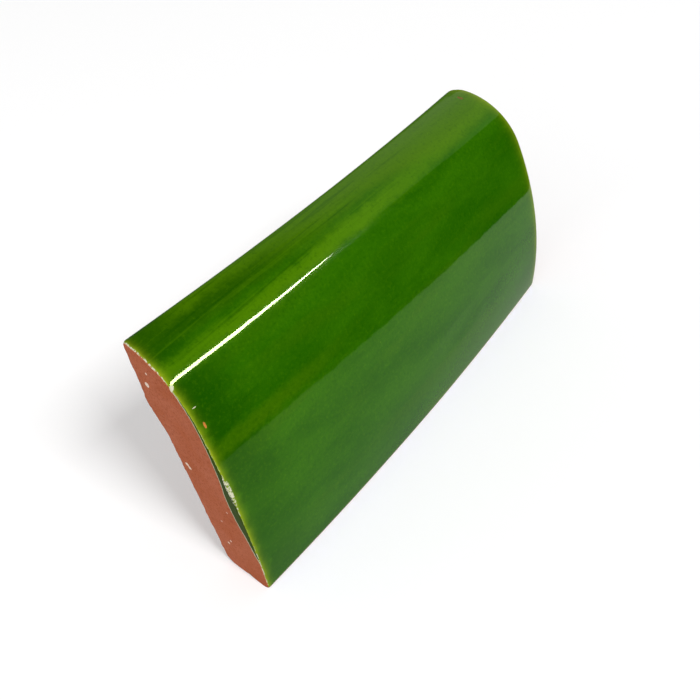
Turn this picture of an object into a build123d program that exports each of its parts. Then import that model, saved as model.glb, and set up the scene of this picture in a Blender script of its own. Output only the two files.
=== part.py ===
from build123d import *
from math import cos, radians, sin
import os

# A ceramic trim tile: one thick blank of red clay, bent, fired, and glazed on its outer side.
# It stands as it is set, with its foot level and its top butt plumb against the wall.
# X runs along the tile, Y from the glazed side towards the wall, Z up.

# Driving dimensions, in millimetres, and in degrees above the level
tile_length = 150.0  # straight across, from end to end
foot_width = 17.0

# Glazed side at mid length, from the toe up: a gently curved face, a tight shoulder and a short cap
toe_angle = 97.5  # the face leans a little over its toe
shoulder_angle = 74.5
cap_angle = 10.0
face_length = 61.5
shoulder_radius = 24.0
cap_length = 4.0

# Clay side, from the heel up: a straight back, a slight hollow and the underside of the cap
back_angle = 84.0
under_cap_angle = 68.5
back_length = 48.0
hollow_radius = 8.0

# Bent by hand: the whole tile is bowed along its length, and fuller at its right end than at its left
bow_height = 2.4  # how far the middle stands out past the ends
toe_turn = 4.5  # degrees, how much more the toe and the cap turn out at the right end, and less at the left
shoulder_turn = 2.0

# Ground off the foot to make it level, and the roundings of the long edges and of the two cut ends
ground_off = 0.1
toe_round = 1.0
heel_round = 3.0
butt_round = 2.0
brow_round = 1.5
end_round = 0.7

with BuildPart() as tile:
    # The toe follows the bow, and each section looks along it
    with BuildLine():
        bow = ThreePointArc((-tile_length / 2, bow_height), (0, 0), (tile_length / 2, bow_height))

    # Three sections, left, middle and right, each standing on its foot with the toe at its origin
    for place, fullness in [(0, -1), (0.5, 0), (1, 1)]:
        toe_start = toe_angle + fullness * toe_turn
        face_end = shoulder_angle - fullness * shoulder_turn
        cap_slope = cap_angle - fullness * toe_turn
        face_radius = face_length / radians(toe_start - face_end)
        station = Plane(origin=bow @ place, x_dir=bow.arc_center - bow @ place, z_dir=bow % place)
        with BuildSketch(station) as section:
            with BuildLine():
                face_start = (cos(radians(toe_start)), sin(radians(toe_start)))
                face = JernArc((0, 0), face_start, face_radius, face_end - toe_start)
                shoulder = JernArc(face @ 1, face % 1, shoulder_radius, cap_slope - face_end)
                cap = PolarLine(shoulder @ 1, cap_length, cap_slope)
                foot = Line((0, 0), (foot_width, 0))
                back = PolarLine(foot @ 1, back_length, back_angle)
                hollow = JernArc(back @ 1, back % 1, hollow_radius, under_cap_angle - back_angle)
                reach = (cap @ 1 - hollow @ 1).X
                under = PolarLine(hollow @ 1, reach, under_cap_angle, length_mode=LengthMode.HORIZONTAL)
                Line(under @ 1, cap @ 1)
            make_face()
            for corner, radius in [(under @ 1, butt_round), (cap @ 1, brow_round)]:
                fillet(section.vertices().sort_by_distance(corner)[0], radius)
    loft()

    # The foot is ground level, and then its long edges and both cut ends are rounded
    split(bisect_by=Plane.XY.offset(ground_off), keep=Keep.TOP)
    foot_by_depth = tile.faces().sort_by(Axis.Z)[0].edges().sort_by(Axis.Y)
    fillet(foot_by_depth[0], toe_round)
    fillet(foot_by_depth[-1], heel_round)
    by_length = tile.faces().sort_by(Axis.X)
    fillet(by_length[0].edges() + by_length[-1].edges(), end_round)

# The origin is on the level of the foot, in the middle of the tile's length and depth
middle = tile.part.bounding_box().center()
tile.part = tile.part.translate((-middle.X, -middle.Y, -ground_off))
tile.part.label = "tile"

os.makedirs("parts", exist_ok=True)
export_step(tile.part, "parts/tile.step")
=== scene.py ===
import bpy
import bmesh
from math import asin, atan2, cos, hypot, pi, radians, sin, tan
from mathutils import Matrix, Vector
from types import SimpleNamespace


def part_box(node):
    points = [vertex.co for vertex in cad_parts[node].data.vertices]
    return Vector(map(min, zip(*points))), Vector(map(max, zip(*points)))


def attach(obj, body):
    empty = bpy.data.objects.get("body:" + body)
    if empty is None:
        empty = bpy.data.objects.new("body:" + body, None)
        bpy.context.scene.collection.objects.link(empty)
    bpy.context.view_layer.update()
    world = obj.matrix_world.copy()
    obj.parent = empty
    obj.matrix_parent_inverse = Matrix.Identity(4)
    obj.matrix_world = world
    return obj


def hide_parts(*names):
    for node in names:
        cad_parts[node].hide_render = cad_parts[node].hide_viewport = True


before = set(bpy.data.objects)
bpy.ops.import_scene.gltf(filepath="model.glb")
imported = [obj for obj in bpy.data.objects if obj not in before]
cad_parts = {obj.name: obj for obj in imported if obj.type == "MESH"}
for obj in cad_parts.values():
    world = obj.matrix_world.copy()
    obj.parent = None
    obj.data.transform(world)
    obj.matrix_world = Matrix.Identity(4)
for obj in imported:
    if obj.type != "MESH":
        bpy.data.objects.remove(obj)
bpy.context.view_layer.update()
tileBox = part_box("tile")
print("frame loaded")


# Small helpers for building node trees

def addNode(tree, kind, settings=None, inputs=None):
    node = tree.nodes.new(kind)
    for name, value in (settings or {}).items():
        setattr(node, name, value)
    for name, value in (inputs or {}).items():
        socket = node.inputs[name]
        if isinstance(value, bpy.types.NodeSocket):
            tree.links.new(value, socket)
        else:
            socket.default_value = value
    return node


def maths(tree, operation, first, second=0.0, third=0.0):
    inputs = {0: first, 1: second}
    if operation == "MULTIPLY_ADD":
        inputs[2] = third
    return addNode(tree, "ShaderNodeMath", {"operation": operation}, inputs).outputs[0]


def plus(tree, first, second):
    return maths(tree, "ADD", first, second)


def minus(tree, first, second):
    return maths(tree, "SUBTRACT", first, second)


def times(tree, first, second):
    return maths(tree, "MULTIPLY", first, second)


def over(tree, first, second):
    return maths(tree, "DIVIDE", first, second)


def timesPlus(tree, value, factor, added):
    return maths(tree, "MULTIPLY_ADD", value, factor, added)


def inverse(tree, value):
    return maths(tree, "SUBTRACT", 1.0, value)


def absolute(tree, value):
    return maths(tree, "ABSOLUTE", value)


def larger(tree, first, second):
    return maths(tree, "MAXIMUM", first, second)


def smaller(tree, first, second):
    return maths(tree, "MINIMUM", first, second)


def parts(tree, vector):
    return addNode(tree, "ShaderNodeSeparateXYZ", None, {0: vector}).outputs


def vectorMath(tree, operation, first, second=None):
    inputs = {0: first}
    if second is not None:
        inputs[1] = second
    return addNode(tree, "ShaderNodeVectorMath", {"operation": operation}, inputs)


def ramp(tree, value, low, high, smooth=True):
    kind = "SMOOTHSTEP" if smooth else "LINEAR"
    inputs = {"Value": value, "From Min": low, "From Max": high}
    return addNode(tree, "ShaderNodeMapRange", {"interpolation_type": kind}, inputs).outputs[0]


def mixColour(tree, factor, first, second):
    node = tree.nodes.new("ShaderNodeMix")
    node.data_type = "RGBA"
    for socket, value in ((node.inputs[0], factor), (node.inputs[6], first), (node.inputs[7], second)):
        if isinstance(value, bpy.types.NodeSocket):
            tree.links.new(value, socket)
        else:
            socket.default_value = value if isinstance(value, float) else (*value, 1.0)
    return node.outputs[2]


def setInput(modifier, tree, name, value):
    for item in tree.interface.items_tree:
        if item.item_type == "SOCKET" and item.in_out == "INPUT" and item.name == name:
            modifier[item.identifier] = value


def pointObject(name, points):
    mesh = bpy.data.meshes.new(name)
    mesh.from_pydata(points, [], [])
    helper = bpy.data.objects.new(name, mesh)
    bpy.context.scene.collection.objects.link(helper)
    return helper


def plainMesh(source, name):
    # the evaluated result as a mesh of its own, with no modifier left
    bpy.context.view_layer.update()
    evaluated = source.evaluated_get(bpy.context.evaluated_depsgraph_get())
    mesh = bpy.data.meshes.new_from_object(evaluated)
    source.modifiers.clear()
    mesh.name = name
    return mesh


# The tile: a section swept along its bow, flatter at the near end and fuller at the far one

tileShape = {
    "halfLength": 75.0,       # mm, as in the part
    "bowHeight": 2.4,
    "footWidth": 17.0,
    "toeAngle": 97.5,         # degrees above the level, at mid length
    "shoulderAngle": 74.5,
    "capAngle": 10.0,
    "toeTurn": 4.5,           # degrees, how the ends differ from the middle
    "shoulderTurn": 2.0,
    "faceLength": 61.5,
    "shoulderRadius": 24.0,
    "capLength": 4.0,
    "backAngle": 84.0,
    "underCapAngle": 68.5,
    "backLength": 48.0,
    "hollowRadius": 8.0,
    "toeRound": 1.0,
    "heelRound": 3.0,
    "buttRound": 2.0,
    "browRound": 1.5,
    "endRound": 0.7,
    "origin": (0.0734, 14.1594, 0.1),  # of the part, from the toe at mid length
    "sidePoints": 128,
    "footPoints": 14,
    "buttPoints": 14,
    "bodyRings": 210,
    "capRings": 13,
    "unevenness": 0.16,       # mm, slow waves of the pressed blank
    "clayRoughness": 0.14,    # mm, finer, on the bare clay
    "edgeChips": 0.22,        # mm, along the edges of the bare clay
    "nearCorner": 0.4,        # mm, how far the cap's corners are rounded along and across
    "farCorner": 5.0,
    "cornerReach": 16.0,      # mm along the tile that a rounded corner draws in
    "cornerSpread": 0.3,      # how slowly it runs out below the butt
    "cornerRise": 0.96,       # the most of the corner's quarter circle that is drawn in
    "glazeLap": 1.5,          # mm past the brow's arris, and past the toe, where the bare clay begins
    "footLap": 0.8,
    # the surface's noises: scale per metre, detail and shift of the seed
    "waveNoise": (24.0, 0.0, 0.0),
    "roughNoise": (300.0, 3.0, 7.0),
    "chipNoise": (380.0, 3.0, 3.0),
    "chipRange": (0.45, 0.75),
    "chipReach": (0.3, 1.9),  # mm from the end's edge, whole and gone
    "seed": 4.0,
}


def arcPoints(start, heading, radius, turn, steps):
    # a tangent arc in the plane of the section, turning clockwise
    angle = radians(heading)
    centre = (start[0] + radius * sin(angle), start[1] - radius * cos(angle))
    points = []
    for step in range(steps + 1):
        now = angle - radians(turn) * step / steps
        points.append((centre[0] - radius * sin(now), centre[1] + radius * cos(now)))
    return points


def lineTo(start, length, heading):
    return (start[0] + length * cos(radians(heading)), start[1] + length * sin(radians(heading)))


def walkedLengths(points):
    lengths = [0.0]
    for first, second in zip(points, points[1:]):
        lengths.append(lengths[-1] + hypot(second[0] - first[0], second[1] - first[1]))
    return lengths


def pointAt(points, distance):
    lengths = walkedLengths(points)
    for index in range(len(points) - 1):
        if distance <= lengths[index + 1] or index == len(points) - 2:
            share = (distance - lengths[index]) / (lengths[index + 1] - lengths[index])
            return tuple(a + (b - a) * share for a, b in zip(points[index], points[index + 1]))


def spread(points, start, end, count, easing=0.0):
    # new points between two distances, closer together near both ends
    result = []
    for step in range(count):
        share = step / (count - 1)
        share += easing * ((1 - cos(pi * share)) / 2 - share)
        result.append(pointAt(points, start + (end - start) * share))
    return result


def cornerArc(before, after, radius, steps=8):
    # the arc between two sides that meet, and how much it cuts off each
    corner = Vector(after[0])
    total = walkedLengths(before)[-1]
    towards = Vector(pointAt(before, total - 1.5)) - corner
    away = Vector(pointAt(after, 1.5)) - corner
    half = towards.angle(away) / 2
    cut = radius / tan(half)
    centre = corner + (towards.normalized() + away.normalized()).normalized() * radius / sin(half)
    arms = [Vector(pointAt(before, total - cut)) - centre, Vector(pointAt(after, cut)) - centre]
    start, end = (atan2(arm.y, arm.x) for arm in arms)
    turn = (end - start + pi) % (2 * pi) - pi
    points = []
    for step in range(steps + 1):
        share = step / steps
        size = arms[0].length * (1 - share) + arms[1].length * share
        angle = start + turn * share
        points.append((centre.x + size * cos(angle), centre.y + size * sin(angle)))
    return points, cut


def sectionSides(shape, fullness):
    # the glazed side, the butt, the clay side and the foot; fullness is -1 at the near end, 1 at the far
    toeAngle = shape["toeAngle"] + fullness * shape["toeTurn"]
    shoulderAngle = shape["shoulderAngle"] - fullness * shape["shoulderTurn"]
    capAngle = shape["capAngle"] - fullness * shape["toeTurn"]
    faceTurn = toeAngle - shoulderAngle
    face = arcPoints((0.0, 0.0), toeAngle, shape["faceLength"] / radians(faceTurn), faceTurn, 40)
    shoulder = arcPoints(face[-1], shoulderAngle, shape["shoulderRadius"], shoulderAngle - capAngle, 40)
    cap = lineTo(shoulder[-1], shape["capLength"], capAngle)
    glazed = face + shoulder[1:] + [cap]
    heel = (shape["footWidth"], 0.0)
    backTop = lineTo(heel, shape["backLength"], shape["backAngle"])
    hollowTurn = shape["backAngle"] - shape["underCapAngle"]
    hollow = arcPoints(backTop, shape["backAngle"], shape["hollowRadius"], hollowTurn, 6)
    rise = (cap[0] - hollow[-1][0]) * tan(radians(shape["underCapAngle"]))
    under = (cap[0], hollow[-1][1] + rise)
    sides = [glazed, [cap, under], [under] + hollow[::-1] + [heel], [heel, (0.0, 0.0)]]
    rounds = [shape["browRound"], shape["buttRound"], shape["heelRound"], shape["toeRound"]]
    corners = [cornerArc(sides[n], sides[(n + 1) % 4], rounds[n]) for n in range(4)]
    result = []
    for n, line in enumerate(sides):
        arcBefore, cutBefore = corners[n - 1]
        arcAfter, cutAfter = corners[n]
        total = walkedLengths(line)[-1]
        middle = spread(line, cutBefore, total - cutAfter, 80)
        result.append(arcBefore[4:-1] + middle + arcAfter[1:5])
    return result


def sectionLoop(shape, fullness):
    # closed points of the section with the distance from the toe, the middle of the wall beside each,
    # and how long the glazed side and the butt are
    glazed, butt, clay, foot = sectionSides(shape, fullness)
    counts = [shape["sidePoints"], shape["buttPoints"], shape["sidePoints"], shape["footPoints"]]
    lines = []
    for line, count in zip((glazed, butt, clay, foot), counts):
        lines.append(spread(line, 0.0, walkedLengths(line)[-1], count, 0.4))
    glazed, butt, clay, foot = lines
    half = len(foot) // 2
    last = len(glazed) - 1
    route = [(foot[n], 0) for n in range(half, len(foot))]
    start = len(route) - 1
    route += [(glazed[n], n) for n in range(1, last + 1)]
    route += [(butt[n], last) for n in range(1, len(butt))]
    route += [(clay[n], last - n) for n in range(1, last + 1)]
    route += [(foot[n], 0) for n in range(1, half + 1)]
    lengths = walkedLengths([point for point, _ in route])
    lowest, highest = round(0.07 * last), round(0.91 * last)
    loop, spine = [], []
    for (point, level), length in zip(route, lengths):
        level = min(max(level, lowest), highest)
        middle = (Vector(glazed[level]) + Vector(clay[last - level])) / 2
        loop.append((*point, length - lengths[start]))
        spine.append((middle.x, middle.y, 0.0))
    return loop, spine, walkedLengths(glazed)[-1], walkedLengths(butt)[-1]


def runPoints(shape):
    # from one end's middle out to its edge, along the tile and in again;
    # each point says where along, how far inset in mm, and the share of the way in
    end = asin(shape["halfLength"] / bowRadius(shape)) * bowRadius(shape)
    radius = shape["endRound"]
    edge = []
    for step in range(shape["capRings"]):
        edge.append((end, radius, (1 - step / shape["capRings"]) ** 1.3))
    for step in range(5):
        angle = pi / 2 * (1 - step / 4)
        edge.append((end - radius + radius * sin(angle), radius * (1 - cos(angle)), 0.0))
    body = []
    for step in range(1, shape["bodyRings"]):
        share = step / shape["bodyRings"]
        share += 0.85 * ((1 - cos(pi * share)) / 2 - share)
        body.append(((end - radius) * (1 - 2 * share), 0.0, 0.0))
    return edge + body + [(-along, inset, share) for along, inset, share in edge[::-1]]


def bowRadius(shape):
    return (shape["halfLength"] ** 2 + shape["bowHeight"] ** 2) / (2 * shape["bowHeight"])


def sweptTileTree(shape):
    # sweeps two sections along the bow, mixing them on the way, and waves and chips the surface a little
    tree = bpy.data.node_groups.new("swept tile", "GeometryNodeTree")
    for kind, names in {
        "Object": ["Near Section", "Far Section", "Near Middle", "Far Middle", "Run"],
        "Int": ["Section Points", "Run Points"],
        "Float": [
            "Half Length", "Bow Radius", "Glazed Length", "Near Glazed", "Far Glazed", "Butt Length",
            "Near Corner", "Far Corner", "Unevenness", "Clay Roughness", "Edge Chips", "Seed",
        ],
        "Vector": ["Origin"],
        "Material": ["Finish"],
    }.items():
        for name in names:
            tree.interface.new_socket(name, in_out="INPUT", socket_type="NodeSocket" + kind)
    tree.interface.new_socket("Geometry", in_out="OUTPUT", socket_type="NodeSocketGeometry")
    given = tree.nodes.new("NodeGroupInput").outputs
    grid = addNode(tree, "GeometryNodeMeshGrid", None, {
        "Size X": 1.0, "Size Y": 1.0,
        "Vertices X": given["Run Points"], "Vertices Y": given["Section Points"]})
    index = tree.nodes.new("GeometryNodeInputIndex").outputs[0]
    runIndex = maths(tree, "FLOOR", over(tree, index, given["Section Points"]))
    loopIndex = minus(tree, index, times(tree, runIndex, given["Section Points"]))

    def pick(name, place):
        # the position of one point of a helper
        info = addNode(tree, "GeometryNodeObjectInfo", None, {"Object": given[name]})
        position = tree.nodes.new("GeometryNodeInputPosition").outputs[0]
        onPoints = {"data_type": "FLOAT_VECTOR", "domain": "POINT"}
        return addNode(tree, "GeometryNodeSampleIndex", onPoints, {
            "Geometry": info.outputs["Geometry"], "Value": position, "Index": place}).outputs[0]

    def mixed(factor, first, second):
        node = tree.nodes.new("ShaderNodeMix")
        node.data_type = "VECTOR"
        for socket, value in ((node.inputs[0], factor), (node.inputs[4], first), (node.inputs[5], second)):
            tree.links.new(value, socket)
        return node.outputs[1]

    def scaled(vector, factor):
        node = addNode(tree, "ShaderNodeVectorMath", {"operation": "SCALE"}, {0: vector, "Scale": factor})
        return node.outputs[0]

    runAlong, runInset, runShare = parts(tree, pick("Run", runIndex))
    share = timesPlus(tree, over(tree, runAlong, given["Half Length"]), 0.5, 0.5)
    outline = mixed(share, pick("Near Section", loopIndex), pick("Far Section", loopIndex))
    middle = mixed(share, pick("Near Middle", loopIndex), pick("Far Middle", loopIndex))
    flat = vectorMath(tree, "MULTIPLY", outline, (1.0, 1.0, 0.0)).outputs[0]
    inwards = vectorMath(tree, "SUBTRACT", middle, flat).outputs[0]
    inwards = vectorMath(tree, "NORMALIZE", inwards).outputs[0]
    rounded = vectorMath(tree, "ADD", flat, scaled(inwards, runInset)).outputs[0]
    spot = parts(tree, mixed(runShare, rounded, middle))

    # the cap's corners are rounded by drawing the end in towards the top
    across = parts(tree, outline)[2]
    atFarEnd = maths(tree, "GREATER_THAN", runAlong, 0.0)
    corner = minus(tree, given["Far Corner"], given["Near Corner"])
    corner = timesPlus(tree, corner, atFarEnd, given["Near Corner"])
    browAt = minus(tree, given["Far Glazed"], given["Near Glazed"])
    browAt = timesPlus(tree, browAt, share, given["Near Glazed"])
    below = minus(tree, browAt, across)
    beyond = minus(tree, across, plus(tree, browAt, given["Butt Length"]))
    fromTop = larger(tree, below, times(tree, beyond, shape["cornerSpread"]))
    rise = over(tree, larger(tree, fromTop, 0.0), corner)
    rise = smaller(tree, larger(tree, inverse(tree, rise), 0.0), shape["cornerRise"])
    drawnIn = maths(tree, "SQRT", inverse(tree, times(tree, rise, rise)))
    drawnIn = times(tree, inverse(tree, drawnIn), corner)
    reachStart = minus(tree, given["Half Length"], shape["cornerReach"])
    byEnd = ramp(tree, absolute(tree, runAlong), reachStart, given["Half Length"])
    drawnIn = times(tree, drawnIn, times(tree, byEnd, byEnd))
    outwards = times(tree, maths(tree, "SIGN", runAlong), inverse(tree, runShare))
    drawnIn = times(tree, drawnIn, outwards)

    angle = over(tree, minus(tree, runAlong, drawnIn), given["Bow Radius"])
    reach = minus(tree, given["Bow Radius"], spot[0])
    along = times(tree, reach, maths(tree, "SINE", angle))
    depth = minus(tree, given["Bow Radius"], times(tree, reach, maths(tree, "COSINE", angle)))
    place = addNode(tree, "ShaderNodeCombineXYZ", None, {0: along, 1: depth, 2: spot[1]}).outputs[0]
    metres = scaled(vectorMath(tree, "SUBTRACT", place, given["Origin"]).outputs[0], 0.001)
    placed = addNode(tree, "GeometryNodeSetPosition", None, {
        "Geometry": grid.outputs["Mesh"], "Position": metres})

    # how far up the glazed side, and how far from the end's edge, below zero on the cut end
    sunk = addNode(tree, "ShaderNodeCombineXYZ", None, {0: spot[0], 1: spot[1]}).outputs[0]
    sunk = vectorMath(tree, "DISTANCE", flat, sunk).outputs["Value"]
    fromEnd = minus(tree, minus(tree, given["Half Length"], absolute(tree, runAlong)), sunk)
    across = times(tree, across, over(tree, given["Glazed Length"], browAt))
    stored = placed.outputs[0]
    onPoints = {"data_type": "FLOAT", "domain": "POINT"}
    for name, value in (("across", across), ("fromEnd", fromEnd)):
        stored = addNode(tree, "GeometryNodeStoreNamedAttribute", onPoints, {
            "Geometry": stored, "Name": name, "Value": value}).outputs[0]
    merged = addNode(tree, "GeometryNodeMergeByDistance", None, {"Geometry": stored, "Distance": 0.000002})

    def named(name):
        node = addNode(tree, "GeometryNodeInputNamedAttribute", {"data_type": "FLOAT"}, {"Name": name})
        return node.outputs[0]

    position = tree.nodes.new("GeometryNodeInputPosition").outputs[0]

    def wave(scale, detail, shift):
        return addNode(tree, "ShaderNodeTexNoise", {"noise_dimensions": "4D"}, {
            "Vector": position, "W": plus(tree, given["Seed"], shift),
            "Scale": scale, "Detail": detail}).outputs[0]

    # slow waves all over, a rougher surface on the bare clay, and chips along its edges, all inwards
    glazeEnd = plus(tree, given["Glazed Length"], shape["glazeLap"])
    onClay = ramp(tree, named("across"), given["Glazed Length"], glazeEnd)
    onClay = larger(tree, onClay, maths(tree, "LESS_THAN", named("across"), -shape["footLap"]))
    byEdge = inverse(tree, ramp(tree, absolute(tree, named("fromEnd")), *shape["chipReach"]))
    chips = ramp(tree, wave(*shape["chipNoise"]), *shape["chipRange"])
    chips = times(tree, chips, times(tree, onClay, byEdge))
    depth = times(tree, wave(*shape["waveNoise"]), given["Unevenness"])
    roughness = times(tree, given["Clay Roughness"], onClay)
    depth = plus(tree, depth, times(tree, wave(*shape["roughNoise"]), roughness))
    depth = plus(tree, depth, times(tree, chips, given["Edge Chips"]))
    normal = tree.nodes.new("GeometryNodeInputNormal").outputs[0]
    push = scaled(normal, times(tree, depth, -0.001))
    waved = addNode(tree, "GeometryNodeSetPosition", None, {"Geometry": merged.outputs[0], "Offset": push})
    smooth = addNode(tree, "GeometryNodeSetShadeSmooth", None, {"Geometry": waved.outputs[0]})
    realised = addNode(tree, "GeometryNodeRealizeInstances", None, {"Geometry": smooth.outputs[0]})
    finished = addNode(tree, "GeometryNodeSetMaterial", None, {
        "Geometry": realised.outputs[0], "Material": given["Finish"]})
    tree.links.new(finished.outputs[0], tree.nodes.new("NodeGroupOutput").inputs[0])
    return tree


def buildTile(shape, finish):
    nearLoop, nearMiddle, nearGlazed, buttLength = sectionLoop(shape, -1)
    farLoop, farMiddle, farGlazed = sectionLoop(shape, 1)[:3]
    run = runPoints(shape)
    helpers = {
        "Near Section": pointObject("nearSection", nearLoop),
        "Far Section": pointObject("farSection", farLoop),
        "Near Middle": pointObject("nearMiddle", nearMiddle),
        "Far Middle": pointObject("farMiddle", farMiddle),
        "Run": pointObject("tileRun", run),
    }
    values = {
        "Section Points": len(nearLoop), "Run Points": len(run),
        "Half Length": shape["halfLength"], "Bow Radius": bowRadius(shape), "Origin": shape["origin"],
        "Glazed Length": sectionLoop(shape, 0)[2], "Near Glazed": nearGlazed, "Far Glazed": farGlazed,
        "Butt Length": buttLength, "Near Corner": shape["nearCorner"], "Far Corner": shape["farCorner"],
        "Unevenness": shape["unevenness"], "Clay Roughness": shape["clayRoughness"],
        "Edge Chips": shape["edgeChips"], "Seed": shape["seed"], "Finish": finish,
    }
    tree = sweptTileTree(shape)
    blank = pointObject("tileSweep", [])
    modifier = blank.modifiers.new("sweep", "NODES")
    modifier.node_group = tree
    for name, value in {**helpers, **values}.items():
        setInput(modifier, tree, name, value)
    mesh = plainMesh(blank, "glazedTile")
    for helper in [*helpers.values(), blank]:
        bpy.data.objects.remove(helper)
    form = bmesh.new()
    form.from_mesh(mesh)
    bmesh.ops.dissolve_degenerate(form, dist=0.000001, edges=form.edges)
    bmesh.ops.recalc_face_normals(form, faces=form.faces)
    lowest, highest = tileBox
    for vertex in form.verts:
        # nothing stands proud of the tile's own size, and the foot stays on the floor
        for axis in range(3):
            vertex.co[axis] = min(max(vertex.co[axis], lowest[axis]), highest[axis])
    form.to_mesh(mesh)
    form.free()
    for face in mesh.polygons:
        face.use_smooth = True
    tile = bpy.data.objects.new("glazedTile", mesh)
    bpy.context.scene.collection.objects.link(tile)
    print("tile made,", len(mesh.polygons), "faces")
    return tile


# The finish: bottle-green glaze over the outer side, bare clay elsewhere

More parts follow.
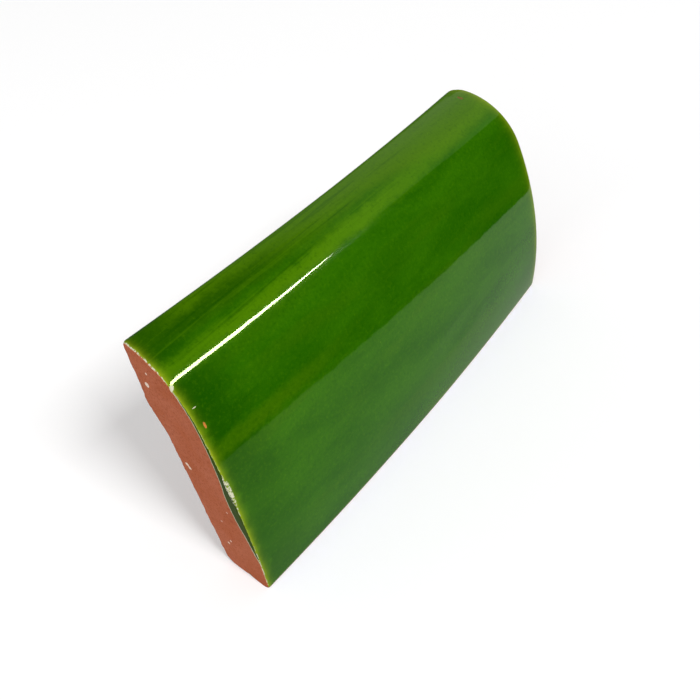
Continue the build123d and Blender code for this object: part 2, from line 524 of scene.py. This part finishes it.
finishSetting = {
    "deepGreen": (0.0120, 0.0840, 0.0),
    "openGreen": (0.0240, 0.1160, 0.0005),
    "oliveGreen": (0.0300, 0.1100, 0.0005),
    "thinGlazeAndSheen": (0.0800, 0.2050, 0.001),      # on the crest, where it is thin glaze and a painted sheen; also pale mottle, strokes and specks
    "paintedTopSheen": (0.0560, 0.1450, 0.0005),      # behind the crest, a painted reflection that makes the top lighter
    "bandGreen": (0.0520, 0.1300, 0.0005),     # a lighter band low on the near half
    # deep glaze pools, dark mottle and strokes, and painted shade where the pools reach low on the face
    # near the near end
    "poolAndShadeGreen": (0.0050, 0.0540, 0.0),
    "rimGreen": (0.3100, 0.3700, 0.014),
    "edgeBrown": (0.1500, 0.0850, 0.020),
    "overrunGreen": (0.0260, 0.0520, 0.001),
    # pale crust, and the colour of painted highlights on the near end
    "paleCrustAndGlint": (0.5600, 0.5500, 0.400),
    "clay": (0.4150, 0.1120, 0.050),
    "clayDark": (0.2700, 0.0560, 0.024),
    "clayBurnt": (0.1500, 0.0380, 0.020),
    "clayPale": (0.4500, 0.1350, 0.070),
    "gritPale": (0.7500, 0.6000, 0.490),
    "chipOrange": (0.5000, 0.1600, 0.030),
    "glazeRoughness": 0.05,
    "clayRoughness": 0.85,
    "glazeIndex": 1.37,
    "glazeTint": (0.55, 1.0, 0.1),
    "specular": 0.5,
    "overrunSpecular": -0.4,                   # added where the glaze lies on the cut end
    "overrunRoughness": 0.55,
    # each noise: how far its scale is reduced along the tile, scale per mm, detail, roughness, distortion
    "noises": {
        "ragged": (1.0, 0.8, 4.0, 0.65, 0.0),
        "wander": (1.0, 0.22, 3.0, 0.5, 0.0),
        "cloud": (0.35, 0.085, 4.0, 0.62, 0.4),
        "olive": (0.12, 0.11, 3.0, 0.6, 0.3),
        "mottle": (1.0, 1.1, 4.0, 0.7, 0.0),
        "strokes": (0.025, 0.75, 3.0, 0.6, 0.5),
        "breaks": (1.0, 1.3, 3.0, 0.7, 0.0),
        "grain": (1.0, 1.6, 6.0, 0.7, 0.0),
        "patch": (1.0, 0.10, 4.0, 0.6, 0.0),
        "burns": (1.0, 0.45, 2.0, 0.5, 0.0),
        "ripple": (1.0, 0.16, 2.0, 0.5, 0.0),
        "orangePeel": (1.0, 0.9, 1.0, 0.5, 0.0),
    },
    # where each mask starts and is whole: values of its noise, or mm
    "ranges": {
        "toeEdge": (0.1, 0.35),
        "overArris": (0.0, 0.15),
        "onRun": (0.0, 0.12),
        "onCut": (0.1, 0.3),
        "cloud": (0.30, 0.70),
        "olive": (0.46, 0.66),
        "farHalf": (75.0, 125.0),
        "behindCrest": (80.0, 86.0),
        "bandEnd": (20.0, 60.0),
        "poolStart": (0.8, 3.2),
        "poolEnd": (5.0, 22.0),
        "poolHeight": (28.0, 50.0),
        "capStreakEnd": (28.0, 62.0),
        "darkMottle": (0.50, 0.72),
        "paleMottle": (0.26, 0.50),
        "onCap": (76.0, 80.0),
        "darkStroke": (0.54, 0.66),
        "paleStroke": (0.34, 0.44),
        "browBrown": (0.3, 1.3),
        "toeBrown": (0.3, 0.9),
        "runBorder": (0.25, 0.55),
        "runWide": (0.3, 0.5),
        "crust": (0.0, 0.1),
        "breaks": (0.42, 0.54),
        "patch": (0.36, 0.66),
        "grain": (0.45, 0.70),
        "clayEdge": (0.1, 0.9),
        "burns": (0.42, 0.60),
    },
    # across the glazed side in mm from the toe, whole up to and gone beyond so many mm away
    "stripes": {
        "crest": (77.3, 0.3, 4.2),
        "band": (53.0, 0.8, 3.6),
        "capStreak": (85.0, 0.8, 4.5),
    },
    "strengths": {
        "olive": 0.5, "behindCrest": 0.8, "poolAndShade": 0.72, "band": 0.45, "darkMottle": 0.36,
        "paleMottle": 0.20, "darkStroke": 0.38, "paleStroke": 0.18, "speck": 0.6, "rim": 0.72,
        "brown": 0.7, "runBorder": 0.8, "grain": 0.80, "grit": 0.55,
    },
    # mm that the noises push each border to and fro
    "wavers": {
        "inset": 0.7, "rim": 1.3, "streaks": 4.0, "pools": 10.0, "clayEdge": 1.2, "spots": 0.9,
        "marks": 1.2,
    },
    # what a mask adds to a strength, and the strength without it
    "shares": {
        "crestFar": (-0.42, 0.62), "strokesFar": (-0.75, 1.0), "poolHigh": (0.45, 0.55),
        "burns": (0.7, 0.2),
    },
    "farTopShift": 7.0,                        # mm that the painted lighter top reaches lower at the far end
    "crestClears": 0.8,                        # of the pools
    "bandClears": 0.7,
    "toeRimShare": 2.0,                        # the rim is this many times narrower along the toe
    "crustShift": -0.05,                       # mm
    # scale per mm, from which share of the cells, and the radius and softness of a fleck in cells
    "specks": (0.16, 0.55, 0.055, 0.02),
    "grit": (0.42, 0.72, 0.20, 0.04),
    "browLap": (1.2, 1.5),                     # mm past the brow's arris where the glaze ends
    "rimFall": (-0.8, -0.5),                   # per mm from the edge, and what the near half adds
    "roundedFall": -1.4,                       # per mm from the edge, of the relief
    "nearEnd": 75.0,                           # mm from the middle
    "reliefs": {                               # mm
        "ripple": 0.026, "rounded": -0.14, "orangePeel": 0.0012, "glazeCoat": 0.14,
        "grain": 0.16, "grit": 0.06,
    },
    # mm wide at a distance across the glazed side, in mm from the toe
    "nearOverrun": [
        (0, 0.0), (10, 0.2), (15, 1.2), (22, 2.4), (30, 4.0), (37, 4.4), (43, 3.3), (50, 2.3), (57, 1.4),
        (70, 0.8), (77, 0.2), (100, 0.0),
    ],
    "farOverrun": [(0, 0.2), (20, 0.5), (45, 0.9), (70, 0.4), (90, 0.2), (100, 0.0)],
    # how wide the pale line is; its widest part, 35 to 47 mm across, is a painted highlight
    "creamLine": [
        (0, 0.14), (8, 0.20), (30, 0.08), (35, 0.30), (38, 0.80), (43, 0.85), (47, 0.15), (56, 0.10),
        (74, 0.10), (79, 0.26), (86, 0.32), (93, 0.20), (100, 0.0),
    ],
    "spotSoftness": 0.12,                      # mm
    "markSoftness": (0.15, 0.05),              # mm inside and outside its half width
    # x, y, z in mm and half width in mm of single pale spots on the near end
    "paleSpots": [
        (-73.8, 10.4, 66.9, 0.85), (-73.9, 8.6, 71.5, 0.35), (-74.1, 5.7, 39.3, 0.7),
        (-74.1, 6.5, 40.3, 0.7), (-74.4, 0.8, 11.0, 0.5), (-74.5, -0.8, 13.2, 0.4),
    ],
    # single marks in the glaze: x, y, z in mm, squeeze along each axis, half width in mm and colour; the
    # two pale ones on the near end are painted highlights
    "glazeMarks": [
        ((-72.6, -6.5, 60.6), (2.6, 1.6, 0.8), 0.85, "chipOrange"),
        # painted highlights on the near arris, pale and matte
        ((-72.6, -4.6, 65.6), (1.0, 3.5, 3.5), 0.80, "paleCrustAndGlint"),
        ((-74.0, -0.7, 71.4), (1.2, 1.7, 0.55), 0.75, "paleCrustAndGlint"),
        ((67.9, 8.8, 77.0), (1.5, 0.8, 1.0), 1.00, "edgeBrown"),
    ],
}


def attributeValue(tree, name):
    node = addNode(tree, "ShaderNodeAttribute", {"attribute_name": name, "attribute_type": "GEOMETRY"})
    return node.outputs["Fac"]


def objectMillimetres(tree, along=1.0):
    place = tree.nodes.new("ShaderNodeTexCoord").outputs["Object"]
    return vectorMath(tree, "MULTIPLY", place, (1000.0 * along, 1000.0, 1000.0)).outputs[0]


def noiseValue(tree, setting, name):
    along, scale, detail, roughness, distortion = setting["noises"][name]
    return addNode(tree, "ShaderNodeTexNoise", None, {
        "Vector": objectMillimetres(tree, along), "Scale": scale, "Detail": detail,
        "Roughness": roughness, "Distortion": distortion}).outputs[0]


def widthCurve(tree, across, widths, largest=6.0):
    # a width in mm that changes with the distance across the glazed side
    node = tree.nodes.new("ShaderNodeFloatCurve")
    curve = node.mapping.curves[0]
    while len(curve.points) < len(widths):
        curve.points.new(0.5, 0.5)
    for point, (distance, width) in zip(curve.points, widths):
        point.location = (distance / 100, width / largest)
    node.mapping.update()
    tree.links.new(over(tree, across, 100.0), node.inputs["Value"])
    return times(tree, node.outputs[0], largest)


def fleckMask(tree, place, scale, fewest, radius, softness):
    # round flecks of different sizes, in the cells whose colour is past a limit
    cells = addNode(tree, "ShaderNodeTexVoronoi", {"feature": "F1"}, {"Vector": place, "Scale": scale})
    size = times(tree, ramp(tree, cells.outputs["Color"], fewest, 1.0), radius)
    return inverse(tree, ramp(tree, minus(tree, cells.outputs["Distance"], size), -softness, 0.0))


def tilePlaces(tree, setting, glazedLength):
    # the distances in mm that the finish is placed by, and where the glaze lies
    at = SimpleNamespace(place=objectMillimetres(tree))
    at.across = attributeValue(tree, "across")
    at.fromEnd = attributeValue(tree, "fromEnd")
    fromMiddle = parts(tree, at.place)[0]
    at.nearHalf = maths(tree, "LESS_THAN", fromMiddle, 0.0)
    at.nearAway = plus(tree, fromMiddle, setting["nearEnd"])
    at.ragged = minus(tree, noiseValue(tree, setting, "ragged"), 0.5)
    at.wander = minus(tree, noiseValue(tree, setting, "wander"), 0.5)
    at.raggedAcross = plus(tree, at.ragged, at.across)

    def within(name, value):
        return ramp(tree, value, *setting["ranges"][name])

    # the glaze lies on the outer side, over the arris and in a run on the cut end
    wavers = setting["wavers"]
    lapStart, lapEnd = setting["browLap"]
    pastBrow = ramp(tree, at.raggedAcross, glazedLength + lapStart, glazedLength + lapEnd)
    at.onSide = times(tree, within("toeEdge", at.raggedAcross), inverse(tree, pastBrow))
    at.inset = timesPlus(tree, at.ragged, wavers["inset"], times(tree, at.fromEnd, -1.0))
    nearWidth = times(tree, widthCurve(tree, at.across, setting["nearOverrun"]), at.nearHalf)
    farWidth = widthCurve(tree, at.across, setting["farOverrun"])
    at.runWidth = plus(tree, nearWidth, times(tree, farWidth, inverse(tree, at.nearHalf)))
    at.runInside = minus(tree, at.runWidth, at.inset)
    at.onCut = within("onCut", at.inset)
    onEnd = larger(tree, inverse(tree, within("overArris", at.inset)), within("onRun", at.runInside))
    at.glazed = times(tree, at.onSide, onEnd)
    toeAway = times(tree, at.across, setting["toeRimShare"])
    edgeAway = smaller(tree, larger(tree, at.fromEnd, 0.0), toeAway)
    at.edgeAway = larger(tree, timesPlus(tree, at.wander, wavers["rim"], edgeAway), 0.0)
    return at


def glazeColour(tree, setting, at, glazedLength):
    wavers = setting["wavers"]
    streakAcross = timesPlus(tree, at.wander, wavers["streaks"], at.across)

    def within(name, value):
        return ramp(tree, value, *setting["ranges"][name])

    def outside(name, value):
        return inverse(tree, within(name, value))

    def stripe(name):
        middle, whole, gone = setting["stripes"][name]
        return inverse(tree, ramp(tree, absolute(tree, minus(tree, streakAcross, middle)), whole, gone))

    def stained(colour, mask, strength, tint):
        return mixColour(tree, times(tree, mask, setting["strengths"][strength]), colour, setting[tint])

    def shared(name, mask):
        return timesPlus(tree, mask, *setting["shares"][name])

    # slow clouds and streaks along the tile, a painted lighter top, and thin glaze on the crest with a
    # painted sheen
    cloud = within("cloud", noiseValue(tree, setting, "cloud"))
    glaze = mixColour(tree, cloud, setting["deepGreen"], setting["openGreen"])
    glaze = stained(glaze, within("olive", noiseValue(tree, setting, "olive")), "olive", "oliveGreen")
    # painted reflection: the top behind the crest is lighter, and reaches lower on the far half
    farHalf = within("farHalf", at.nearAway)
    topAcross = timesPlus(tree, farHalf, setting["farTopShift"], streakAcross)
    glaze = stained(glaze, within("behindCrest", topAcross), "behindCrest", "paintedTopSheen")
    # the crest band is thin glaze and a painted sheen, stronger on the near half
    crest = stripe("crest")
    glaze = mixColour(tree, times(tree, crest, shared("crestFar", farHalf)), glaze, setting["thinGlazeAndSheen"])

    # deeper pools behind the near edge and along the cap, fewer low on the face and on the lighter band;
    # low on the face they are painted shade, a dimmer reflection near the near end
    band = times(tree, stripe("band"), outside("bandEnd", at.nearAway))
    poolAway = timesPlus(tree, at.wander, wavers["pools"], at.nearAway)
    poolAndShade = times(tree, within("poolStart", poolAway), outside("poolEnd", poolAway))
    poolAndShade = times(tree, poolAndShade, shared("poolHigh", within("poolHeight", streakAcross)))
    poolAndShade = times(tree, poolAndShade, inverse(tree, times(tree, crest, setting["crestClears"])))
    capStreak = times(tree, stripe("capStreak"), outside("capStreakEnd", poolAway))
    clear = inverse(tree, times(tree, band, setting["bandClears"]))
    poolAndShade = times(tree, larger(tree, poolAndShade, capStreak), clear)
    glaze = stained(glaze, poolAndShade, "poolAndShade", "poolAndShadeGreen")
    glaze = stained(glaze, band, "band", "bandGreen")

    # a fine mottle, strokes along the cap and single specks
    mottle = noiseValue(tree, setting, "mottle")
    glaze = stained(glaze, within("darkMottle", mottle), "darkMottle", "poolAndShadeGreen")
    glaze = stained(glaze, outside("paleMottle", mottle), "paleMottle", "thinGlazeAndSheen")
    strokes = noiseValue(tree, setting, "strokes")
    onCap = times(tree, within("onCap", streakAcross), shared("strokesFar", farHalf))
    darkStroke = times(tree, within("darkStroke", strokes), onCap)
    glaze = stained(glaze, darkStroke, "darkStroke", "poolAndShadeGreen")
    paleStroke = times(tree, outside("paleStroke", strokes), onCap)
    glaze = stained(glaze, paleStroke, "paleStroke", "thinGlazeAndSheen")
    glaze = stained(glaze, fleckMask(tree, at.place, *setting["specks"]), "speck", "thinGlazeAndSheen")

    # thin at the ends' edges, brown along the brow and the toe, dark with a pale border on the cut end
    fall, nearFall = setting["rimFall"]
    rim = maths(tree, "EXPONENT", times(tree, at.edgeAway, timesPlus(tree, at.nearHalf, nearFall, fall)))
    glaze = stained(glaze, rim, "rim", "rimGreen")
    topAway = minus(tree, glazedLength + setting["browLap"][1], at.raggedAcross)
    brown = larger(tree, outside("browBrown", topAway), outside("toeBrown", at.raggedAcross))
    glaze = stained(glaze, brown, "brown", "edgeBrown")
    glaze = mixColour(tree, at.onCut, glaze, setting["overrunGreen"])
    runBorder = times(tree, outside("runBorder", at.runInside), within("runWide", at.runWidth))
    return stained(glaze, times(tree, runBorder, at.onCut), "runBorder", "paleCrustAndGlint")


def edgeCrustAndGlint(tree, setting, at):
    # a pale broken line along the near edge: crust, and a painted highlight where it is widest, 35 to 47
    # mm across
    width = times(tree, widthCurve(tree, at.across, setting["creamLine"]), at.nearHalf)
    away = absolute(tree, plus(tree, at.inset, setting["crustShift"]))
    crust = ramp(tree, minus(tree, width, away), *setting["ranges"]["crust"])
    broken = ramp(tree, noiseValue(tree, setting, "breaks"), *setting["ranges"]["breaks"])
    return times(tree, times(tree, crust, broken), at.onSide)


def clayColour(tree, setting, at, grain, grit):
    # darker patches and grain, pale grit, burnt edges and single pale spots
    ranges, strengths, wavers = setting["ranges"], setting["strengths"], setting["wavers"]
    patch = ramp(tree, noiseValue(tree, setting, "patch"), *ranges["patch"])
    clay = mixColour(tree, patch, setting["clay"], setting["clayPale"])
    darkGrain = times(tree, ramp(tree, grain, *ranges["grain"]), strengths["grain"])
    clay = mixColour(tree, darkGrain, clay, setting["clayDark"])
    clay = mixColour(tree, times(tree, grit, strengths["grit"]), clay, setting["gritPale"])
    edgeAway = timesPlus(tree, at.ragged, wavers["clayEdge"], absolute(tree, at.fromEnd))
    edge = times(tree, inverse(tree, ramp(tree, edgeAway, *ranges["clayEdge"])), inverse(tree, at.onSide))
    burns = ramp(tree, noiseValue(tree, setting, "burns"), *ranges["burns"])
    burns = timesPlus(tree, burns, *setting["shares"]["burns"])
    clay = mixColour(tree, times(tree, edge, burns), clay, setting["clayBurnt"])
    for x, y, z, size in setting["paleSpots"]:
        away = vectorMath(tree, "DISTANCE", at.place, (x, y, z)).outputs["Value"]
        away = timesPlus(tree, at.ragged, wavers["spots"], away)
        spot = inverse(tree, ramp(tree, away, size - setting["spotSoftness"], size))
        clay = mixColour(tree, spot, clay, setting["gritPale"])
    return clay


def glazedClayMaterial(setting, glazedLength):
    material = bpy.data.materials.new("glazedClay")
    material.use_nodes = True
    tree = material.node_tree
    tree.nodes.clear()
    at = tilePlaces(tree, setting, glazedLength)
    grain = noiseValue(tree, setting, "grain")
    grit = fleckMask(tree, at.place, *setting["grit"])
    clay = clayColour(tree, setting, at, grain, grit)
    base = mixColour(tree, at.glazed, clay, glazeColour(tree, setting, at, glazedLength))
    plain = edgeCrustAndGlint(tree, setting, at)
    base = mixColour(tree, plain, base, setting["paleCrustAndGlint"])
    inside, outside = setting["markSoftness"]
    # an orange chip, a brown mark and two painted highlights, all matte
    for spot, squeeze, size, colour in setting["glazeMarks"]:
        away = vectorMath(tree, "SUBTRACT", at.place, spot).outputs[0]
        away = vectorMath(tree, "MULTIPLY", away, squeeze).outputs[0]
        away = vectorMath(tree, "LENGTH", away).outputs["Value"]
        away = timesPlus(tree, at.ragged, setting["wavers"]["marks"], away)
        mark = inverse(tree, ramp(tree, away, size - inside, size + outside))
        base = mixColour(tree, mark, base, setting[colour])
        plain = larger(tree, plain, mark)
    glossy = times(tree, at.glazed, inverse(tree, plain))

    shader = addNode(tree, "ShaderNodeBsdfPrincipled", None, {
        "Base Color": base, "IOR": setting["glazeIndex"], "Specular Tint": (*setting["glazeTint"], 1.0),
        "Specular IOR Level": timesPlus(tree, at.onCut, setting["overrunSpecular"], setting["specular"])})
    glazeRough = timesPlus(tree, at.onCut, setting["overrunRoughness"], setting["glazeRoughness"])
    rough = addNode(tree, "ShaderNodeMix", None, {0: glossy, 2: setting["clayRoughness"], 3: glazeRough})
    tree.links.new(rough.outputs[0], shader.inputs["Roughness"])

    # ripples in the glaze, grain and pits in the clay
    reliefs = setting["reliefs"]
    ripple = times(tree, noiseValue(tree, setting, "ripple"), reliefs["ripple"])
    rounded = maths(tree, "EXPONENT", times(tree, at.edgeAway, setting["roundedFall"]))
    orangePeel = times(tree, noiseValue(tree, setting, "orangePeel"), reliefs["orangePeel"])
    glazeHeight = plus(tree, ripple, times(tree, rounded, reliefs["rounded"]))
    glazeHeight = plus(tree, glazeHeight, plus(tree, orangePeel, reliefs["glazeCoat"]))
    clayHeight = timesPlus(tree, grain, reliefs["grain"], times(tree, grit, reliefs["grit"]))
    height = addNode(tree, "ShaderNodeMix", None, {0: glossy, 2: clayHeight, 3: glazeHeight}).outputs[0]
    bump = addNode(tree, "ShaderNodeBump", None, {"Strength": 1.0, "Distance": 0.001, "Height": height})
    tree.links.new(bump.outputs[0], shader.inputs["Normal"])
    tree.links.new(shader.outputs[0], tree.nodes.new("ShaderNodeOutputMaterial").inputs["Surface"])
    return material


glazedClay = glazedClayMaterial(finishSetting, sectionLoop(tileShape, 0)[2])
tile = buildTile(tileShape, glazedClay)
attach(tile, "root")
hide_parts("tile")


# Floor, lamps and the cards that the glaze mirrors, in metres

studio = {
    "floorColour": (0.80, 0.80, 0.80),
    "floorGlow": 0.215,
    "floorReach": 1.6,
    "worldLight": 0.40,
    "keyPlace": (-1.20, -10.32, 10.08),
    "keySize": 3.60,
    "keyPower": 1560.0,
    "fillPlace": (-1.90, -0.30, 0.90),
    "fillSize": 1.6,
    "fillPower": 14.0,
    "lampTarget": (0.0, 0.0, 0.03),
    "cardReach": 3.0,
    "backPlace": 1.2,
    "backGlow": 0.15,
    "ceilingHeight": 1.5,
    # along x the ceiling brightens from here to there, seen in the cap's far half
    "ceilingRise": (0.75, 1.25),
    "ceilingGlow": 0.62,
    "ceilingStreaks": (2.0, 3.0),             # scale and detail
    "stripGlow": 460.0,
    "stripColour": (0.30, 0.20, 0.80),        # comes back white from the green glaze
    # the strip's middle line and how wide it is there
    "strip": [
        ((-0.50, -0.72, 0.75), 0.06), ((0.18, -0.672, 0.763), 0.065), ((0.40, -0.61, 0.725), 0.065),
        ((0.59, -0.547, 0.683), 0.06),
    ],
    "stripWidth": (-0.08, 0.70, 0.71),
    # x and y along the foot of the dark card, and its height there
    "darkCard": [
        (-1.0, -0.103, 0.168), (-0.005, -0.103, 0.170), (0.04, -0.097, 0.172), (0.093, -0.087, 0.179),
        (0.13, -0.079, 0.169), (0.158, -0.068, 0.146), (0.18, -0.06, 0.131), (0.5, 0.05, 0.13),
    ],
    "lowCardPlace": (-0.006, 0.0004),         # y of its edge at the toe, and height
    "lowCardFade": (-0.075, -0.015),
    "lowCardGlow": (0.50, 0.88),              # at the tile's toe and at the dark card
}


def lookedAt(tree):
    # 1 where the camera, a mirror or clear glass sees it
    path = tree.nodes.new("ShaderNodeLightPath").outputs
    mirrored = larger(tree, path["Is Glossy Ray"], path["Is Transmission Ray"])
    return larger(tree, path["Is Camera Ray"], mirrored)


def stageRibbon(name, pairs, colour, glow, mirrorOnly=True, glowColour=(1.0, 1.0, 1.0)):
    # a strip of faces between pairs of points
    material = bpy.data.materials.new(name)
    material.use_nodes = True
    shader = material.node_tree.nodes["Principled BSDF"]
    shader.inputs["Base Color"].default_value = (*colour, 1.0)
    shader.inputs["Roughness"].default_value = 1.0
    shader.inputs["Specular IOR Level"].default_value = 0.0
    shader.inputs["Emission Color"].default_value = (*glowColour, 1.0)
    shader.inputs["Emission Strength"].default_value = glow
    mesh = bpy.data.meshes.new(name)
    points = [point for pair in pairs for point in pair]
    faces = [(2 * n, 2 * n + 2, 2 * n + 3, 2 * n + 1) for n in range(len(pairs) - 1)]
    mesh.from_pydata(points, [], faces)
    mesh.materials.append(material)
    ribbon = bpy.data.objects.new(name, mesh)
    if mirrorOnly:
        ribbon.visible_camera = False
        ribbon.visible_diffuse = False
        ribbon.visible_shadow = False
        ribbon.visible_transmission = False
    bpy.context.scene.collection.objects.link(ribbon)
    return material


def linkGlow(tree, glow):
    tree.links.new(glow, tree.nodes["Principled BSDF"].inputs["Emission Strength"])


def buildFloor(setting):
    reach = setting["floorReach"]
    pairs = [((x, -reach, 0.0), (x, reach, 0.0)) for x in (-reach, reach)]
    tree = stageRibbon("paleFloor", pairs, setting["floorColour"], 0.0, False).node_tree
    linkGlow(tree, times(tree, lookedAt(tree), setting["floorGlow"]))


def buildCards(setting):
    # seen only mirrored: dark in front and behind, a ceiling that brightens to the right, a bright strip
    black = (0.0, 0.0, 0.0)
    reach, back, height = setting["cardReach"], setting["backPlace"], setting["ceilingHeight"]
    stageRibbon("darkCard", [((x, y, 0.0), (x, y, top)) for x, y, top in setting["darkCard"]], black, 0.0)
    pairs = [((x, back, 0.0), (x, back, height)) for x in (-reach, reach)]
    stageRibbon("backCard", pairs, black, setting["backGlow"])
    pairs = [((x, -reach, height), (x, back, height)) for x in (-reach, reach)]
    tree = stageRibbon("ceiling", pairs, black, 0.0).node_tree
    place = tree.nodes.new("ShaderNodeTexCoord").outputs["Object"]
    drawnOut = vectorMath(tree, "MULTIPLY", place, (1.0, 5.0, 1.0)).outputs[0]
    scale, detail = setting["ceilingStreaks"]
    streaks = {"Vector": drawnOut, "Scale": scale, "Detail": detail}
    streaks = minus(tree, addNode(tree, "ShaderNodeTexNoise", None, streaks).outputs[0], 0.5)
    along = timesPlus(tree, streaks, 0.5, parts(tree, place)[0])
    linkGlow(tree, times(tree, ramp(tree, along, *setting["ceilingRise"]), setting["ceilingGlow"]))

    pairs = []
    for middle, size in setting["strip"]:
        half = Vector(setting["stripWidth"]) * size / 2
        pairs.append((Vector(middle) - half, Vector(middle) + half))
    stageRibbon("brightStrip", pairs, black, setting["stripGlow"], glowColour=setting["stripColour"])

    edge, height = setting["lowCardPlace"]
    low = [((x, edge, height), (x, y, height)) for x, y, _ in setting["darkCard"]]
    tree = stageRibbon("lowCard", low, black, 0.0).node_tree
    depth = parts(tree, tree.nodes.new("ShaderNodeTexCoord").outputs["Object"])[1]
    atToe, atCard = setting["lowCardGlow"]
    cardShare = inverse(tree, ramp(tree, depth, *setting["lowCardFade"], False))
    linkGlow(tree, timesPlus(tree, cardShare, atCard - atToe, atToe))


def addLamp(name, place, target, size, power):
    light = bpy.data.lights.new(name, "AREA")
    light.shape = "SQUARE"
    light.size = size
    light.energy = power
    lamp = bpy.data.objects.new(name, light)
    lamp.visible_glossy = False
    lamp.location = place
    lamp.rotation_euler = (Vector(target) - Vector(place)).to_track_quat("-Z", "Y").to_euler()
    bpy.context.scene.collection.objects.link(lamp)


def buildWorld(setting):
    world = bpy.data.worlds.new("studioWorld")
    world.use_nodes = True
    tree = world.node_tree
    background = tree.nodes["Background"]
    background.inputs["Color"].default_value = (1.0, 1.0, 1.0, 1.0)
    light = addNode(tree, "ShaderNodeMix", None, {0: lookedAt(tree), 2: setting["worldLight"], 3: 1.0})
    tree.links.new(light.outputs[0], background.inputs["Strength"])
    bpy.context.scene.world = world


buildFloor(studio)
buildCards(studio)
buildWorld(studio)
addLamp("keyLamp", studio["keyPlace"], studio["lampTarget"], studio["keySize"], studio["keyPower"])
addLamp("fillLamp", studio["fillPlace"], studio["lampTarget"], studio["fillSize"], studio["fillPower"])
print("studio made")


# The camera stands where the photograph was taken

view = {
    "place": (-0.14778, -0.13895, 0.20397),
    "right": (0.58904, -0.79608, -0.13888),
    "up": (0.54629, 0.26564, 0.79436),
    "back": (-0.59548, -0.54378, 0.59136),
    "lens": 43.7143,
    "shift": (-0.04124, -0.11946),
}
cameraData = bpy.data.cameras.new("camera")
cameraData.lens = view["lens"]
cameraData.sensor_fit = "HORIZONTAL"
cameraData.sensor_width = 36.0
cameraData.shift_x, cameraData.shift_y = view["shift"]
cameraData.clip_start = 0.01
camera = bpy.data.objects.new("camera", cameraData)
columns = Matrix((view["right"], view["up"], view["back"])).transposed().to_4x4()
camera.matrix_world = Matrix.Translation(view["place"]) @ columns
bpy.context.scene.collection.objects.link(camera)
bpy.context.scene.camera = camera
bpy.context.scene.view_settings.view_transform = "Standard"
